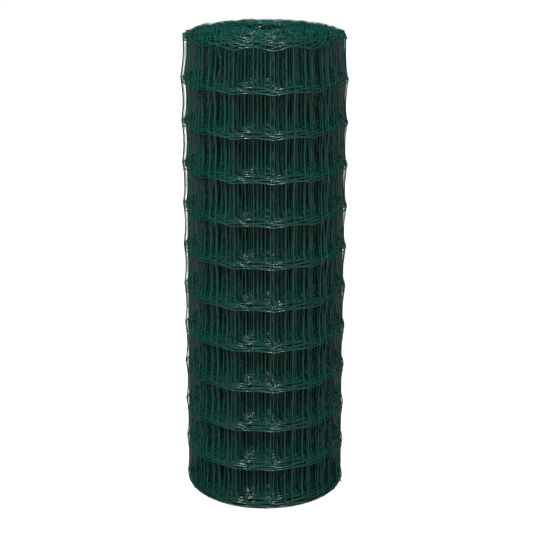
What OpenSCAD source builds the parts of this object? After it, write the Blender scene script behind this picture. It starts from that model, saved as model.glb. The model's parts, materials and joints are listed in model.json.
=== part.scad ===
// Roll of welded wire fencing, standing on its end.
// The wound turns are one turned body with a bore. The outer turn's wires stand
// on its wall, and a spiral gap in each end shows every third turn.

/* [Fence] */
// Spacing of the line wires up the roll
line_pitch = 100; // [80:1:120]
// Spaces between the bottom line wire and the top one
line_spaces = 11; // [6:1:14]
// Spacing of the cross wires along the fence
cross_pitch = 94; // [80:1:120]
// Diameter of the plastic-coated wire
wire_d = 2.5; // [2.2:0.1:2.8]
// How far a cross wire sinks into a line wire where the two are welded
weld_depth = 0.5; // [0.3:0.1:0.7]

/* [Roll] */
// Diameter of the bore that the winding leaves
bore_d = 76; // [60:1:100]
// Turns of fence from the bore to the outside
turns = 33; // [24:3:36]
// Distance from one turn to the next
turn_pitch = 4.7; // [4.5:0.1:5.2]
// How far a line wire stands out of the wound wall
line_proud = 1.6; // [1.4:0.1:1.9]
// How far the wound wall draws in between two line wires
wall_bow = 4; // [1:0.5:4]
// Width of the gap that shows the turns at each end
gap_w = 1.5; // [1:0.5:3]
// Depth of that gap
gap_depth = 25; // [10:1:30]
// Angle of the first cross wire, seen from above
cross_angle = -97; // [-180:1:180]

/* [Hidden] */
$fn = 180;
wire_fn = 24;
// The turns lie close on each other, so one gap shows for this many of them
turns_per_gap = 3;
// The cuts at the ends start this far outside the body
cut_slack = 1;

// Heights: the bottom and top line wires are the roll's own edges
roll_h = line_spaces * line_pitch + wire_d;
function line_z(i) = wire_d / 2 + i * line_pitch;

// The turns are counted outwards from the bore in groups, with a gap outside each group
gap_pitch = turns_per_gap * turn_pitch;
gap_count = floor(turns / turns_per_gap);

// Radii, from the inside out: bore, wound wall, line wires, cross wires
bore_r = bore_d / 2;
wall_r = bore_r + turns * turn_pitch;
line_r = wall_r - wire_d / 2 + line_proud;
cross_r = line_r + wire_d - weld_depth;

// Each space of the outer turn is about one cross pitch long
cross_count = round(2 * PI * line_r / cross_pitch);

// The wall's hollow between two line wires is an arc through both of its ends
hollow_chord = line_pitch - wire_d;
hollow_r = (pow(hollow_chord / 2, 2) + pow(wall_bow, 2)) / (2 * wall_bow);

// Section of the wound turns: straight bore, flat ends, hollows between the line wires
module wound_section() {
    difference() {
        translate([bore_r, 0])
            square([wall_r - bore_r, roll_h]);
        for (i = [0:line_spaces - 1])
            translate([wall_r - wall_bow + hollow_r, line_z(i + 0.5)])
                circle(hollow_r);
    }
}

// Half a turn of each gap, from the one at first_r outwards
module half_turn_gaps(first_r, count) {
    rotate_extrude(angle = 180)
        for (k = [0:count - 1])
            translate([first_r + k * gap_pitch, 0])
                square([gap_w, gap_depth + cut_slack]);
}

// The spiral gap: its half turns swap between two centres, half its pitch apart,
// so that each one starts where the one before it ends
module spiral_gap() {
    first_r = bore_r + gap_pitch - gap_w;
    half_turn_gaps(first_r, gap_count - 1);
    translate([gap_pitch / 2, 0, 0])
        rotate(180)
            half_turn_gaps(first_r + gap_pitch / 2, gap_count - 2);
}

// The wound turns as one body, with the spiral gap in both ends
module wound_turns() {
    difference() {
        rotate_extrude()
            wound_section();
        translate([0, 0, -cut_slack])
            spiral_gap();
        translate([0, 0, roll_h - gap_depth])
            spiral_gap();
    }
}

// The line wires of the outer turn
module line_wires() {
    rotate_extrude()
        for (i = [0:line_spaces])
            translate([line_r, line_z(i)])
                circle(d = wire_d, $fn = wire_fn);
}

// The cross wires of the outer turn, welded on the outside of its line wires
module cross_wires() {
    for (k = [0:cross_count - 1])
        rotate(cross_angle + k * 360 / cross_count)
            translate([cross_r, 0, 0])
                cylinder(d = wire_d, h = roll_h, $fn = wire_fn);
}

module mesh_roll() {
    color("#1d4a40")
        union() {
            wound_turns();
            line_wires();
            cross_wires();
        }
}

mesh_roll();
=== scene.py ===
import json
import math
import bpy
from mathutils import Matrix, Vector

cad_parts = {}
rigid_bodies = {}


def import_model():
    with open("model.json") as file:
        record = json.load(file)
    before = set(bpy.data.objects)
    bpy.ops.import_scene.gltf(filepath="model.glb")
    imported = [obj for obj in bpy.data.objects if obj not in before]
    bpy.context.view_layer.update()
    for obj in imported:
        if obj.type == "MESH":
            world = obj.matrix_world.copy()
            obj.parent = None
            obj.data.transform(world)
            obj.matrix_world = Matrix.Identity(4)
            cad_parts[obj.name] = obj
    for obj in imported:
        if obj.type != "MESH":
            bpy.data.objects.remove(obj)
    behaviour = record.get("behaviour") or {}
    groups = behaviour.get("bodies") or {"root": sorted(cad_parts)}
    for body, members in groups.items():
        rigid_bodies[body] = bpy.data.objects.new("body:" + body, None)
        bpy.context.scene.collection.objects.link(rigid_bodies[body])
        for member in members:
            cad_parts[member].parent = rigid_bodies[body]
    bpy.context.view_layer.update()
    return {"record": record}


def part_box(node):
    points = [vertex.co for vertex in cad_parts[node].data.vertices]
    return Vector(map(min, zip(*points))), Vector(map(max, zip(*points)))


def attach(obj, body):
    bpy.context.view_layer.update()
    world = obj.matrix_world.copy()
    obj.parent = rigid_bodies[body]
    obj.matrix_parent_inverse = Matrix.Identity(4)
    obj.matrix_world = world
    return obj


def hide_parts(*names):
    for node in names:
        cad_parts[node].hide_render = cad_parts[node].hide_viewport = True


bl_info = {
    "name": "Roll of Welded Wire Fencing",
    "version": (1, 0, 0),
    "blender": (4, 5, 0),
    "location": "View3D > Sidebar > Fence Roll",
    "description": "Winds a plastic-coated welded wire fence into a standing roll and sets its stage",
    "category": "Add Mesh",
}

import bmesh
import bpy
from mathutils import Matrix, Vector, noise

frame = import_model()

MM = 0.001
NODE = "mesh_roll"

# The solid's own sizes: the roll's height and outside, and the bore it leaves
roll_low, roll_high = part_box(NODE)
ROLL_HEIGHT = roll_high.z - roll_low.z
OUTSIDE_R = max(-roll_low.x, roll_high.x)
BORE_R = next(m["dims"]["r_mm"] for m in frame["record"]["mounts"] if m["name"] == "bore") * MM

# Sides of a wire's section, and of a weld bead around and over
WIRE_SIDES = 8
BEAD_SIDES = 6
BEAD_RINGS = 3

# Where a wire's spine has points: along one cell of a line wire, closest together at the crimp,
# and up one space of a cross wire and of a fill wire
CELL_STEPS = (0, 0.18, 0.36, 0.45, 0.5, 0.55, 0.64, 0.82)
SPACE_STEPS = (0, 0.15, 0.38, 0.62, 0.85)
FILL_STEPS = (0, 0.5)

# The cross wires are made in pieces of this many turns
TURNS_PER_PIECE = 3

# Half the floor's width, and the width of each lamp that lights the roll, in metres
FLOOR_REACH = 12
LAMP_SIZE = 0.75

# The floor's own light: how far out it stands as a share of the camera's way from the roll,
# how far below the camera's line of sight, and its radius
FLOOR_LIGHT_OUT = 1.02
FLOOR_LIGHT_DROP = 15 * MM
FLOOR_LIGHT_R = 4 * MM

# The roll stands on a disc of dark felt, which is painted shade for the floor under the roll; it lies this
# much higher than the floor, and the roll covers it
SHADE_DISC_HEIGHT = 0.3 * MM
SHADE_DISC_R = OUTSIDE_R - 12 * MM

# Sides of that disc and of the drum below
STAGE_SIDES = 96

# Radii of the drum that keeps the floor's shadow solid, at its foot and at its top
DRUM_R = OUTSIDE_R - 7 * MM
DRUM_TOP_R = OUTSIDE_R - 14 * MM


class FenceMesh(bpy.types.PropertyGroup):
    """The welded fence as it was made, before it was wound"""

    wire_d: bpy.props.FloatProperty(
        name="Wire", description="Diameter of a wire with its coat",
        default=2.5 * MM, min=1.6 * MM, max=4 * MM, unit="LENGTH")
    core_d: bpy.props.FloatProperty(
        name="Core", description="Diameter of the steel wire inside the coat",
        default=2 * MM, min=1 * MM, max=3 * MM, unit="LENGTH")
    weld_depth: bpy.props.FloatProperty(
        name="Weld depth", description="How far a cross wire sinks into a line wire",
        default=0.5 * MM, min=0, max=1 * MM, unit="LENGTH")
    line_spaces: bpy.props.IntProperty(
        name="Spaces", description="Spaces between the bottom line wire and the top one",
        default=11, min=2, max=20)
    cross_pitch: bpy.props.FloatProperty(
        name="Cross pitch", description="Distance from one cross wire to the next along the fence",
        default=93 * MM, min=50 * MM, max=150 * MM, unit="LENGTH")
    stub: bpy.props.FloatProperty(
        name="Cut stub", description="Length of line wire left past the first and last cross wire",
        default=10 * MM, min=2 * MM, max=40 * MM, unit="LENGTH")
    crimp: bpy.props.FloatProperty(
        name="Crimp", description="Depth of the bend in the middle of each cell of a line wire",
        default=5 * MM, min=0, max=12 * MM, unit="LENGTH")
    foot: bpy.props.FloatProperty(
        name="Foot", description="How far the cross wires reach below the bottom line wire",
        default=4 * MM, min=0, max=20 * MM, unit="LENGTH")
    low_crimp: bpy.props.FloatProperty(
        name="Low crimp", description="Depth of that bend just above the bottom edge",
        default=3 * MM, min=0, max=12 * MM, unit="LENGTH")
    edge_sag: bpy.props.FloatProperty(
        name="Edge sag", description="How far the top line wire sags between two cross wires",
        default=9 * MM, min=0, max=20 * MM, unit="LENGTH")
    flatten: bpy.props.FloatProperty(
        name="Flat", description="How far a line wire cuts inside the round between two cross wires",
        default=0.4 * MM, min=0, max=5 * MM, unit="LENGTH")
    bow: bpy.props.FloatProperty(
        name="Bow", description="How far a cross wire bows in between two line wires",
        default=4.5 * MM, min=0, max=8 * MM, unit="LENGTH")


class FenceWinding(bpy.types.PropertyGroup):
    """How the fence is wound into the roll"""

    turns: bpy.props.FloatProperty(
        name="Turns", description="Turns of fence from the outside to the bore",
        default=34.02, min=2, max=50)
    outside_r: bpy.props.FloatProperty(
        name="Outside", description="Radius of the roll over its outer cross wires",
        default=OUTSIDE_R, min=0.1, max=0.4, unit="LENGTH")
    inside_r: bpy.props.FloatProperty(
        name="Inside", description="Radius of the innermost turn's line wires",
        default=BORE_R + 2 * MM, min=0.02, max=0.2, unit="LENGTH")
    end_angle: bpy.props.FloatProperty(
        name="Cut end", description="Where the outer cut end lies, from the front towards the right",
        default=math.radians(133.7), subtype="ANGLE")
    rise: bpy.props.FloatProperty(
        name="Rise", description="How much higher the inner turns stand than the outer one",
        default=15 * MM, min=0, max=30 * MM, unit="LENGTH")
    rise_turns: bpy.props.FloatProperty(
        name="Rise turns", description="Turns over which that rise is spread",
        default=27, min=1, max=50)
    draw_in: bpy.props.FloatProperty(
        name="Draw in", description="How far the top edge is drawn in",
        default=7 * MM, min=0, max=20 * MM, unit="LENGTH")
    slip: bpy.props.FloatProperty(
        name="Slip", description="How far an inner turn slips round from an even winding",
        default=22 * MM, min=0, max=50 * MM, unit="LENGTH")
    stray: bpy.props.FloatProperty(
        name="Stray", description="How far an inner turn strays upwards",
        default=5 * MM, min=0, max=10 * MM, unit="LENGTH")
    sway: bpy.props.FloatProperty(
        name="Sway", description="How far a turn strays from its round",
        default=1.2 * MM, min=0, max=4 * MM, unit="LENGTH")
    fill_turn: bpy.props.FloatProperty(
        name="Filled", description="Turns from the outside after which the cross wires lie twice as close",
        default=5, min=0, max=50)
    lean: bpy.props.FloatProperty(
        name="Lean", description="How far a cross wire strays along the fence",
        default=0.5 * MM, min=0, max=4 * MM, unit="LENGTH")


class FenceLook(bpy.types.PropertyGroup):
    """Colours of the fence and of its stage, as sRGB hex"""

    coat: bpy.props.StringProperty(
        name="Coat", description="Colour of the green plastic coat", default="#09453D")
    coat_deep: bpy.props.StringProperty(
        name="Deep coat", description="Colour of the coat where it is thickest", default="#05322A")
    steel: bpy.props.StringProperty(
        name="Steel", description="Colour of the cut ends of the wire", default="#B4B8BC")
    floor: bpy.props.StringProperty(
        name="Floor", description="Colour of the floor", default="#F4F4F4")
    # Painted shade: a dark colour for the disc under the roll, standing in for the floor's shade there
    shade_felt: bpy.props.StringProperty(
        name="Felt", description="Colour of the felt under the roll", default="#1C1E1D")
    floor_bounce: bpy.props.StringProperty(
        name="Floor bounce", description="Colour of the floor for the light that it throws back",
        default="#303030")


class FenceStage(bpy.types.PropertyGroup):
    """Camera and lights"""

    view_distance: bpy.props.FloatProperty(
        name="Distance", description="From the camera to the roll's axis, along the floor",
        default=3.2, min=1, max=10, unit="LENGTH")
    view_height: bpy.props.FloatProperty(
        name="Height", description="Height of the camera", default=1.585, min=0, max=5, unit="LENGTH")
    view_side: bpy.props.FloatProperty(
        name="Side", description="How far right of the axis the camera stands",
        default=3.4 * MM, min=-1, max=1, unit="LENGTH")
    view_tilt: bpy.props.FloatProperty(
        name="Tilt", description="How far down the camera looks",
        default=math.radians(17.98), subtype="ANGLE")
    lens: bpy.props.FloatProperty(
        name="Lens", description="Focal length on a 36 mm square frame", default=94.8, min=20, max=300)
    left_power: bpy.props.FloatProperty(
        name="Left light", description="Power of the light at the left",
        default=550, min=0, subtype="POWER")
    right_power: bpy.props.FloatProperty(
        name="Right light", description="Power of the light at the right",
        default=475, min=0, subtype="POWER")
    back_power: bpy.props.FloatProperty(
        name="Back lights", description="Power of each light behind", default=270, min=0, subtype="POWER")
    floor_power: bpy.props.FloatProperty(
        name="Floor light", description="Power of the light that only the floor gets",
        default=29, min=0, subtype="POWER")
    floor_fill: bpy.props.FloatProperty(
        name="Floor fill", description="Strength of the light that keeps the floor's shadow grey",
        default=0.15, min=0, max=2)
    ambient: bpy.props.FloatProperty(
        name="Ambient", description="Strength of the light from all around", default=0.004, min=0, max=2)


class WoundFence:
    """Where each point of the fence lies once it is wound: along it from the outer cut end, up it, and out"""

    # Cross wires of the outer turn that are bent in their top space: how far along the fence, at
    # shares of the way from the line wire below to the top edge
    BENT_WIRES = {
        4: ((0, 0), (0.27, 2.5 * MM), (1, 2.5 * MM)),
        6: ((0, 0), (0.55, -16.5 * MM), (1, -6.6 * MM)),
    }

    # How much of the outer turn's offset from the axis is taken back
    CENTRED = 0.6

    def __init__(self, scene):
        self.mesh = scene.fence_mesh
        self.winding = scene.fence_winding
        mesh, winding = self.mesh, self.winding
        # From a line wire's axis out to the axis of a cross wire welded on it
        self.layer = mesh.wire_d - mesh.weld_depth
        self.outer_r = winding.outside_r - mesh.wire_d / 2 - self.layer
        self.pitch = (self.outer_r - winding.inside_r) / winding.turns
        if self.pitch < self.layer + mesh.wire_d:
            raise ValueError("the turns don't fit between the roll's outside and its bore")
        self.line_pitch = (ROLL_HEIGHT - mesh.wire_d) / mesh.line_spaces
        self.cells = int((self.wound_length(winding.turns) - 2 * mesh.stub) / mesh.cross_pitch)
        self.length = 2 * mesh.stub + self.cells * mesh.cross_pitch
        # A spiral turn is nearly a circle off the axis; this brings the outer turn back towards it
        lopsided = winding.end_angle - math.pi / 2
        self.centring = Vector((math.sin(lopsided), -math.cos(lopsided), 0))
        self.centring *= -self.CENTRED * self.pitch / math.pi

    def radius(self, turn):
        """Radius of the line wires, so many turns from the outside"""
        return self.outer_r - self.pitch * turn

    def wound_length(self, turn):
        """Length of fence in so many turns from the outside"""
        return math.tau * (self.outer_r * turn - self.pitch * turn ** 2 / 2)

    def turn_at(self, along):
        """Turns from the outside, at a length along the fence"""
        return (self.outer_r - math.sqrt(self.outer_r ** 2 - self.pitch * along / math.pi)) / self.pitch

    def line_height(self, line):
        """Height of a line wire; the bottom one is held up by the cross wires' feet"""
        return self.mesh.wire_d / 2 + (line * self.line_pitch or self.mesh.foot)

    def lay(self, along, up, out=0.0):
        """Where a point of the fence lies in the roll"""
        turn = self.turn_at(along)
        angle = self.winding.end_angle - math.tau * turn
        # The noise runs on smoothly round the roll and from turn to turn; the outer two turns lie evenly
        slip = self.winding.slip * min(max(turn - 2, 0), 1) * noise.noise(Vector((0.9 * turn, 11.0, 0)))
        angle += slip / self.radius(turn)
        outward = Vector((math.sin(angle), -math.cos(angle), 0))
        sway = self.winding.sway * noise.noise(outward * 1.3 + Vector((0, 0, 0.08 * turn + 2.2 * up)))
        still_to_rise = 1 - min(turn / self.winding.rise_turns, 1)
        rise = self.winding.rise * (1 - still_to_rise ** 2)
        stray = noise.noise(outward * 0.9 + Vector((5.0, 0, 0.83 * turn)))
        rise += self.winding.stray * min(turn, 1) * (0.5 + 0.5 * stray)
        top_share = max(0, 1 - (ROLL_HEIGHT - up) / self.line_pitch)
        slimmer = 1 - self.winding.draw_in / self.outer_r * top_share ** 2
        place = outward * ((self.radius(turn) + out) * slimmer + sway)
        place += self.centring * (1 - turn / self.winding.turns)
        place.z = up + rise
        return place

    def cross_along(self, cross, up):
        """Where a cross wire lies along the fence, at a height"""
        along = self.mesh.stub + cross * self.mesh.cross_pitch
        along += self.winding.lean * noise.noise(Vector((cross * 1.7, 3.0, up * 2.5)))
        bends = self.BENT_WIRES.get(cross, ())
        share = (up - self.line_height(self.mesh.line_spaces - 1)) / self.line_pitch
        for (low, low_by), (high, high_by) in zip(bends, bends[1:]):
            if low < share <= high or high == 1 < share:
                along += low_by + (high_by - low_by) * (share - low) / (high - low)
        return along

    def line_spine(self, line):
        """Points of a line wire from the outer cut end to the inner one"""
        mesh = self.mesh
        stations = [0.0, self.length]
        for cell in range(self.cells + 1):
            stations += [mesh.stub + (cell + step) * mesh.cross_pitch for step in CELL_STEPS]
        stations = sorted(s for s in set(stations) if s <= self.length)
        spine = []
        for along in stations:
            # A crimp is a rounded V, and shallower low on the roll; the top edge sags in a wave
            share = ((along - mesh.stub) / mesh.cross_pitch) % 1
            wave = math.sin(math.pi * share) ** 2
            vee = (1 - abs(2 * share - 1)) ** 1.6
            if line == mesh.line_spaces:
                dip = mesh.edge_sag * wave
            elif line == 0:
                dip = mesh.foot * vee
            else:
                high = (line - 1) / (mesh.line_spaces - 2)
                dip = vee * (mesh.low_crimp + (mesh.crimp - mesh.low_crimp) * min(1, 1.5 * high))
            spine.append(self.lay(along, self.line_height(line) - dip, -mesh.flatten * wave))
        return spine

    def cross_spine(self, cross, steps):
        """Points of a cross wire from its lower end to its upper one"""
        mesh = self.mesh
        heights = [0.0, ROLL_HEIGHT]
        for space in range(mesh.line_spaces):
            heights += [self.line_height(space + step) for step in steps]
        heights.append(self.line_height(mesh.line_spaces))
        for share, _ in self.BENT_WIRES.get(cross, ())[1:-1]:
            heights.append(self.line_height(mesh.line_spaces - 1 + share))
        spine = []
        for up in sorted(heights):
            share = ((up - mesh.wire_d / 2) / self.line_pitch) % 1
            space = math.floor((up - mesh.wire_d / 2) / self.line_pitch)
            inside = 0 <= space < mesh.line_spaces
            # One space of a wire bows a little more than the next
            slack = 1 + 0.25 * noise.noise(Vector((cross * 0.9, space * 1.3, 7.0)))
            bow = mesh.bow * slack * math.sin(math.pi * share) if inside else 0
            spine.append(self.lay(self.cross_along(cross, up), up, self.layer - bow))
        return spine


def draw_wire(spine, wire_r, tip=1.0):
    """A bmesh of one wire: a straight rod with a ring for each point of its spine, bent along that spine.
    Its ends are the given share as thick as the rest."""
    bm = bmesh.new()
    last = len(spine) - 1
    bmesh.ops.create_cone(
        bm, cap_ends=True, segments=WIRE_SIDES, radius1=wire_r, radius2=wire_r, depth=last)
    sides = [e for e in bm.edges if e.verts[0].co.z * e.verts[1].co.z < 0]
    bmesh.ops.subdivide_edges(bm, edges=sides, cuts=last - 1, use_grid_fill=True)
    poses = []
    for before, here, after in zip(spine[:1] + spine, spine, spine[1:] + spine[-1:]):
        forward = (after - before).normalized()
        across = forward.cross(Vector((here.x, here.y, 0))).normalized()
        pose = Matrix((across.cross(forward), across, forward)).transposed().to_4x4()
        pose.translation = here
        poses.append(pose)
    for vert in bm.verts:
        ring = round(vert.co.z + last / 2)
        girth = tip if ring in (0, last) else 1
        vert.co = poses[ring] @ Vector((vert.co.x * girth, vert.co.y * girth, 0))
    for face in bm.faces:
        face.smooth = True
    return bm


def join_into(bm, other):
    """Adds one bmesh to another, and frees it"""
    shape = bpy.data.meshes.new("joined")
    other.to_mesh(shape)
    other.free()
    bm.from_mesh(shape)
    bpy.data.meshes.remove(shape)


def array_of(bm, count):
    """A mesh of many copies of a bmesh, joined, each after the one before it"""
    shape = bpy.data.meshes.new("one")
    bm.to_mesh(shape)
    bm.free()
    first = bpy.data.objects.new("one", shape)
    bpy.context.scene.collection.objects.link(first)
    row = first.modifiers.new("row", "ARRAY")
    row.count = count
    copies = bpy.data.meshes.new_from_object(
        first.evaluated_get(bpy.context.evaluated_depsgraph_get()))
    bpy.data.objects.remove(first)
    return copies


def place_piece(name, bm, materials):
    """Makes a bmesh a piece of the roll"""
    bmesh.ops.recalc_face_normals(bm, faces=bm.faces)
    shape = bpy.data.meshes.new(name)
    bm.to_mesh(shape)
    bm.free()
    for material in materials:
        shape.materials.append(material)
    piece = bpy.data.objects.new(name, shape)
    bpy.context.scene.collection.objects.link(piece)
    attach(piece, "root")
    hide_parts(NODE)
    return piece


def place_stage(name, bm, material):
    """Makes a bmesh a piece of the stage"""
    shape = bpy.data.meshes.new(name)
    bm.to_mesh(shape)
    bm.free()
    shape.materials.append(material)
    piece = bpy.data.objects.new(name, shape)
    bpy.context.scene.collection.objects.link(piece)
    return piece


def linear(hex_colour):
    """Linear RGBA of an sRGB hex colour"""
    parts = [int(hex_colour[i:i + 2], 16) / 255 for i in (1, 3, 5)]
    return [c / 12.92 if c <= 0.04045 else ((c + 0.055) / 1.055) ** 2.4 for c in parts] + [1.0]


def add_node(tree, kind, settings=None, inputs=None):
    """Adds a node, sets it, and links or sets its inputs"""
    node = tree.nodes.new(kind)
    for name, value in (settings or {}).items():
        setattr(node, name, value)
    for name, value in (inputs or {}).items():
        if isinstance(value, bpy.types.NodeSocket):
            tree.links.new(value, node.inputs[name])
        else:
            node.inputs[name].default_value = value
    return node


def new_material(name):
    """A material without nodes, and its node tree"""
    material = bpy.data.materials.new(name)
    material.use_nodes = True
    material.node_tree.nodes.clear()
    return material, material.node_tree


# Sockets of the colour kind of Mix, which share their names with the other kinds
MIX_A = 6
MIX_B = 7
MIX_RESULT = 2


def pvc_coat(look):
    """PVC sintered on galvanised steel wire: powder melted onto the hot welded mesh.
    It is smooth and satin, and a little wavy where it flowed."""
    material, tree = new_material("pvc_coat")
    place = add_node(tree, "ShaderNodeTexCoord").outputs["Object"]
    # The coat's thickness changes over about 70 mm, and its tone with it
    patches = add_node(tree, "ShaderNodeTexNoise", None,
                       {"Vector": place, "Scale": 1 / (70 * MM), "Detail": 2.0})
    green = add_node(tree, "ShaderNodeMix", {"data_type": "RGBA"},
                     {"Factor": patches.outputs["Fac"],
                      MIX_A: linear(look.coat_deep), MIX_B: linear(look.coat)})
    # Flow marks of about 2 mm, 0.02 mm deep, break the gloss up
    flow = add_node(tree, "ShaderNodeTexNoise", None,
                    {"Vector": place, "Scale": 1 / (2 * MM), "Detail": 1.0})
    waves = add_node(tree, "ShaderNodeBump", None,
                     {"Height": flow.outputs["Fac"], "Strength": 0.2, "Distance": 0.02 * MM})
    satin = add_node(tree, "ShaderNodeMapRange", None,
                     {"Value": patches.outputs["Fac"], "To Min": 0.12, "To Max": 0.19})
    # The gloss fades where the surface turns away, where the white floor would veil the green
    away = add_node(tree, "ShaderNodeLayerWeight", None, {"Blend": 0.5})
    gloss = add_node(tree, "ShaderNodeMapRange", None,
                     {"Value": away.outputs["Facing"], "From Min": 0.12, "From Max": 0.36,
                      "To Min": 0.3, "To Max": 0.0})
    coat = add_node(tree, "ShaderNodeBsdfPrincipled", None,
                    {"Base Color": green.outputs[MIX_RESULT], "Roughness": satin.outputs["Result"],
                     "IOR": 1.54, "Specular IOR Level": gloss.outputs["Result"],
                     "Normal": waves.outputs["Normal"]})
    add_node(tree, "ShaderNodeOutputMaterial", None, {"Surface": coat.outputs["BSDF"]})
    return material


def cut_steel(look):
    """Galvanised steel wire where cutters went through it: bright, with fine shear marks."""
    material, tree = new_material("cut_steel")
    place = add_node(tree, "ShaderNodeTexCoord").outputs["Object"]
    # Shear marks about 0.2 mm apart
    marks = add_node(tree, "ShaderNodeTexNoise", None,
                     {"Vector": place, "Scale": 1 / (0.2 * MM), "Detail": 2.0})
    scored = add_node(tree, "ShaderNodeMapRange", None,
                      {"Value": marks.outputs["Fac"], "To Min": 0.25, "To Max": 0.5})
    ridges = add_node(tree, "ShaderNodeBump", None,
                      {"Height": marks.outputs["Fac"], "Strength": 0.4, "Distance": 0.02 * MM})
    steel = add_node(tree, "ShaderNodeBsdfPrincipled", None,
                     {"Base Color": linear(look.steel), "Metallic": 1.0,
                      "Roughness": scored.outputs["Result"], "Normal": ridges.outputs["Normal"]})
    add_node(tree, "ShaderNodeOutputMaterial", None, {"Surface": steel.outputs["BSDF"]})
    return material


def add_seen(tree):
    """1 for a ray by which the camera, a gloss or a glass sees the stage, 0 for one that lights the roll"""
    ray = add_node(tree, "ShaderNodeLightPath").outputs
    mirrored = add_node(tree, "ShaderNodeMath", {"operation": "MAXIMUM"},
                        {0: ray["Is Glossy Ray"], 1: ray["Is Transmission Ray"]})
    seen = add_node(tree, "ShaderNodeMath", {"operation": "MAXIMUM"},
                    {0: ray["Is Camera Ray"], 1: mirrored.outputs["Value"]})
    return seen.outputs["Value"]


def studio_floor(look):
    """White painted board, rolled on and matt.
    What it throws back on the roll is dimmer than what is seen of it."""
    material, tree = new_material("studio_floor")
    place = add_node(tree, "ShaderNodeTexCoord").outputs["Object"]
    # The roller's stipple of about 1.5 mm
    stipple = add_node(tree, "ShaderNodeTexNoise", None, {"Vector": place, "Scale": 1 / (1.5 * MM)})
    matt = add_node(tree, "ShaderNodeMapRange", None,
                    {"Value": stipple.outputs["Fac"], "To Min": 0.8, "To Max": 0.95})
    paint = add_node(tree, "ShaderNodeMix", {"data_type": "RGBA"},
                     {"Factor": add_seen(tree), MIX_A: linear(look.floor_bounce), MIX_B: linear(look.floor)})
    board = add_node(tree, "ShaderNodeBsdfPrincipled", None,
                     {"Base Color": paint.outputs[MIX_RESULT], "Roughness": matt.outputs["Result"],
                      "Specular IOR Level": 0.0})
    add_node(tree, "ShaderNodeOutputMaterial", None, {"Surface": board.outputs["BSDF"]})
    return material


def painted_shade_felt(look):
    """Pressed wool felt, dyed dark grey: soft and matt, with a fibrous mottle. It is painted shade: it
    darkens the floor under the roll, where the roll's shade falls.
    """
    material, tree = new_material("painted_shade_felt")
    place = add_node(tree, "ShaderNodeTexCoord").outputs["Object"]
    # Tufts of about 1 mm
    tufts = add_node(tree, "ShaderNodeTexNoise", None,
                     {"Vector": place, "Scale": 1 / (1 * MM), "Detail": 3.0})
    mottle = add_node(tree, "ShaderNodeMix", {"data_type": "RGBA"},
                      {"Factor": tufts.outputs["Fac"], MIX_A: (0, 0, 0, 1), MIX_B: linear(look.shade_felt)})
    shade_felt = add_node(tree, "ShaderNodeBsdfPrincipled", None,
                    {"Base Color": mottle.outputs[MIX_RESULT], "Roughness": 1.0, "Specular IOR Level": 0.1})
    add_node(tree, "ShaderNodeOutputMaterial", None, {"Surface": shade_felt.outputs["BSDF"]})
    return material


def studio_world(stage):
    """Even light from all around, which the camera sees as white"""
    world = bpy.data.worlds.new("studio_world")
    world.use_nodes = True
    tree = world.node_tree
    tree.nodes.clear()
    strength = add_node(tree, "ShaderNodeMapRange", None,
                        {"Value": add_seen(tree), "To Min": stage.ambient, "To Max": 1.0})
    sky = add_node(tree, "ShaderNodeBackground", None,
                   {"Color": (1, 1, 1, 1), "Strength": strength.outputs["Result"]})
    add_node(tree, "ShaderNodeOutputWorld", None, {"Surface": sky.outputs["Background"]})
    return world


def keep_even(lamp):
    """Lets a lamp light a floor evenly: as much per metre of reach as the flatter angle takes away"""
    lamp.use_nodes = True
    tree = lamp.node_tree
    tree.nodes.clear()
    reach = add_node(tree, "ShaderNodeLightFalloff", None, {"Strength": 1.0})
    away = add_node(tree, "ShaderNodeLightPath").outputs["Ray Length"]
    strength = add_node(tree, "ShaderNodeMath", {"operation": "MULTIPLY"},
                        {0: reach.outputs["Constant"], 1: away})
    glow = add_node(tree, "ShaderNodeEmission", None, {"Strength": strength.outputs["Value"]})
    add_node(tree, "ShaderNodeOutputLight", None, {"Surface": glow.outputs["Emission"]})


def linked(name, piece, state):
    """A collection that links a light to one piece of the stage alone, or to all but that piece"""
    group = bpy.data.collections.get(name) or bpy.data.collections.new(name)
    if not group.objects:
        group.objects.link(piece)
        group.collection_objects[0].light_linking.link_state = state
    return group


def fence_materials(scene):
    """The coat and the cut steel, made once"""
    if "pvc_coat" not in bpy.data.materials:
        pvc_coat(scene.fence_look)
        cut_steel(scene.fence_look)
    return [bpy.data.materials["pvc_coat"], bpy.data.materials["cut_steel"]]


class FENCE_OT_line_wires(bpy.types.Operator):
    """Draw the crimped line wires, from the outer cut end round to the inner one"""

    bl_idname = "fence.line_wires"
    bl_label = "Line wires"

    def execute(self, context):
        fence = WoundFence(context.scene)
        mesh = fence.mesh
        for line in range(mesh.line_spaces + 1):
            bm = draw_wire(fence.line_spine(line), mesh.wire_d / 2)
            # The cutters left the steel core bare
            caps = [face for face in bm.faces if len(face.verts) == WIRE_SIDES]
            bmesh.ops.inset_region(bm, faces=caps, thickness=(mesh.wire_d - mesh.core_d) / 2)
            for cap in caps:
                cap.smooth = False
                cap.material_index = 1
            place_piece(f"line_wire_{line + 1:02d}", bm, fence_materials(context.scene))
        return {"FINISHED"}


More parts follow.
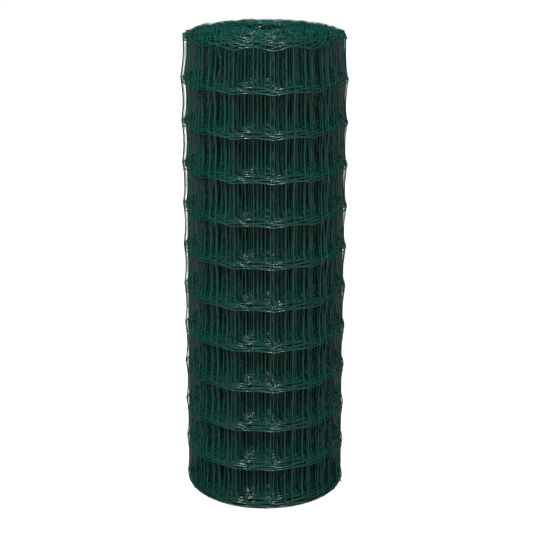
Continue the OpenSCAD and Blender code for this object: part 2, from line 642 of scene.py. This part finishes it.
class FENCE_OT_cross_wires(bpy.types.Operator):
    """Draw the cross wires, a few turns at a time"""

    bl_idname = "fence.cross_wires"
    bl_label = "Cross wires"

    def execute(self, context):
        fence = WoundFence(context.scene)
        mesh = fence.mesh
        groups = {}
        for half in range(2 * fence.cells + 1):
            turn = fence.turn_at(fence.cross_along(half / 2, 0))
            # Every other one is a fill wire between two welded ones, which only closes the inside
            if half % 2 and turn < fence.winding.fill_turn:
                continue
            groups.setdefault(int(turn / TURNS_PER_PIECE), []).append(half)
        for group, halves in groups.items():
            bm = bmesh.new()
            for half in halves:
                # The coat rounds the ends off
                steps = FILL_STEPS if half % 2 else SPACE_STEPS
                join_into(bm, draw_wire(fence.cross_spine(half / 2, steps), mesh.wire_d / 2, tip=0.6))
            place_piece(f"cross_wires_{group + 1:02d}", bm, fence_materials(context.scene)[:1])
        return {"FINISHED"}


class FENCE_OT_weld_beads(bpy.types.Operator):
    """Put a bead of coat where each cross wire is welded to a line wire"""

    bl_idname = "fence.weld_beads"
    bl_label = "Weld beads"

    # Half sizes of a bead, out from the roll and along the two wires
    BEAD = (1.45 * MM, 1.9 * MM, 1.9 * MM)

    def execute(self, context):
        fence = WoundFence(context.scene)
        welds = []
        for cross in range(fence.cells + 1):
            for line in range(fence.mesh.line_spaces + 1):
                up = fence.line_height(line)
                welds.append(fence.lay(fence.cross_along(cross, up), up, fence.layer / 2))
        bm = bmesh.new()
        bmesh.ops.create_uvsphere(bm, u_segments=BEAD_SIDES, v_segments=BEAD_RINGS, radius=1)
        bmesh.ops.scale(bm, vec=self.BEAD, verts=bm.verts)
        bead = [vert.co.copy() for vert in bm.verts]
        row = array_of(bm, len(welds))
        bm = bmesh.new()
        bm.from_mesh(row)
        bm.verts.ensure_lookup_table()
        for place, weld in enumerate(welds):
            facing = Matrix.Translation(weld) @ Matrix.Rotation(math.atan2(weld.y, weld.x), 4, "Z")
            for corner, local in enumerate(bead):
                bm.verts[place * len(bead) + corner].co = facing @ local
        for face in bm.faces:
            face.smooth = True
        place_piece("weld_beads", bm, fence_materials(context.scene)[:1])
        return {"FINISHED"}


class FENCE_OT_stage(bpy.types.Operator):
    """Lay the floor and set the camera, the lights and the background"""

    bl_idname = "fence.stage"
    bl_label = "Stage"

    def execute(self, context):
        scene = context.scene
        stage = scene.fence_stage
        board = studio_floor(scene.fence_look)
        bm = bmesh.new()
        bmesh.ops.create_grid(
            bm, x_segments=1, y_segments=1, size=FLOOR_REACH,
            matrix=Matrix.Translation((0, 0, -SHADE_DISC_HEIGHT)))
        floor = place_stage("floor", bm, board)
        # A dark disc under the roll: painted shade where the floor lies in the roll's shade
        bm = bmesh.new()
        bmesh.ops.create_circle(bm, cap_ends=True, segments=STAGE_SIDES, radius=SHADE_DISC_R)
        shade_felt = painted_shade_felt(scene.fence_look)
        place_stage("stand", bm, shade_felt)
        # A drum in the roll that nothing sees keeps the floor's light from shining through the roll
        bm = bmesh.new()
        bmesh.ops.create_cone(
            bm, cap_ends=True, segments=STAGE_SIDES, radius1=DRUM_R, radius2=DRUM_TOP_R, depth=ROLL_HEIGHT,
            matrix=Matrix.Translation((0, 0, ROLL_HEIGHT / 2)))
        drum = place_stage("drum", bm, shade_felt)
        drum.visible_camera = False
        drum.visible_diffuse = False
        drum.visible_glossy = False
        drum.visible_transmission = False

        lens = bpy.data.cameras.new("photo_view")
        lens.lens = stage.lens
        camera = bpy.data.objects.new("photo_view", lens)
        camera.location = (stage.view_side, -stage.view_distance, stage.view_height)
        camera.rotation_euler = (math.pi / 2 - stage.view_tilt, 0, 0)
        scene.collection.objects.link(camera)
        scene.camera = camera

        middle = Vector((0, 0, ROLL_HEIGHT / 2))
        for name, power, place in (
            ("left_light", stage.left_power, Vector((-3.2, -4.5, 5.6))),
            ("right_light", stage.right_power, Vector((1.7, -5.2, 5.6))),
            ("back_left_light", stage.back_power, Vector((-4.6, 4.4, 2.4))),
            ("back_right_light", stage.back_power, Vector((4.6, 4.4, 2.4))),
        ):
            lamp = bpy.data.lights.new(name, "AREA")
            lamp.energy = power
            lamp.size = LAMP_SIZE
            light = bpy.data.objects.new(name, lamp)
            light.location = place
            light.rotation_euler = (middle - place).to_track_quat("-Z", "Y").to_euler()
            light.light_linking.receiver_collection = linked("roll_only", floor, "EXCLUDE")
            light.light_linking.blocker_collection = linked("no_drum", drum, "EXCLUDE")
            scene.collection.objects.link(light)

        # The floor's own light stands just behind the camera and a little below its line of sight,
        # so the roll hides most of its shadow
        lamp = bpy.data.lights.new("floor_light", "POINT")
        lamp.energy = stage.floor_power
        lamp.shadow_soft_size = FLOOR_LIGHT_R
        keep_even(lamp)
        light = bpy.data.objects.new("floor_light", lamp)
        light.location = middle + FLOOR_LIGHT_OUT * (camera.location - middle)
        light.location.z -= FLOOR_LIGHT_DROP
        light.light_linking.receiver_collection = linked("floor_only", floor, "INCLUDE")
        scene.collection.objects.link(light)
        # Light from above without a shadow keeps the floor's own shadow grey
        lamp = bpy.data.lights.new("floor_fill", "SUN")
        lamp.energy = stage.floor_fill
        lamp.use_shadow = False
        light = bpy.data.objects.new("floor_fill", lamp)
        light.light_linking.receiver_collection = linked("floor_only", floor, "INCLUDE")
        scene.collection.objects.link(light)
        scene.world = studio_world(stage)
        scene.view_settings.view_transform = "Standard"
        return {"FINISHED"}


GROUPS = (FenceMesh, FenceWinding, FenceLook, FenceStage)
GROUP_NAMES = ("fence_mesh", "fence_winding", "fence_look", "fence_stage")
OPERATORS = (FENCE_OT_line_wires, FENCE_OT_cross_wires, FENCE_OT_weld_beads, FENCE_OT_stage)


class FENCE_PT_roll(bpy.types.Panel):
    """Sizes and colours of the roll, and the steps that make it"""

    bl_idname = "FENCE_PT_roll"
    bl_label = "Fence Roll"
    bl_space_type = "VIEW_3D"
    bl_region_type = "UI"
    bl_category = "Fence Roll"

    def draw(self, context):
        for name in GROUP_NAMES:
            group = getattr(context.scene, name)
            box = self.layout.box()
            for prop in group.__annotations__:
                box.prop(group, prop)
        for operator in OPERATORS:
            self.layout.operator(operator.bl_idname)


CLASSES = (*GROUPS, *OPERATORS, FENCE_PT_roll)


def register():
    for cls in CLASSES:
        bpy.utils.register_class(cls)
    for name, group in zip(GROUP_NAMES, GROUPS):
        setattr(bpy.types.Scene, name, bpy.props.PointerProperty(type=group))


def unregister():
    for name in GROUP_NAMES:
        delattr(bpy.types.Scene, name)
    for cls in reversed(CLASSES):
        bpy.utils.unregister_class(cls)


def main():
    register()
    bpy.ops.fence.line_wires()
    bpy.ops.fence.cross_wires()
    bpy.ops.fence.weld_beads()
    bpy.ops.fence.stage()


if __name__ == "__main__":
    main()
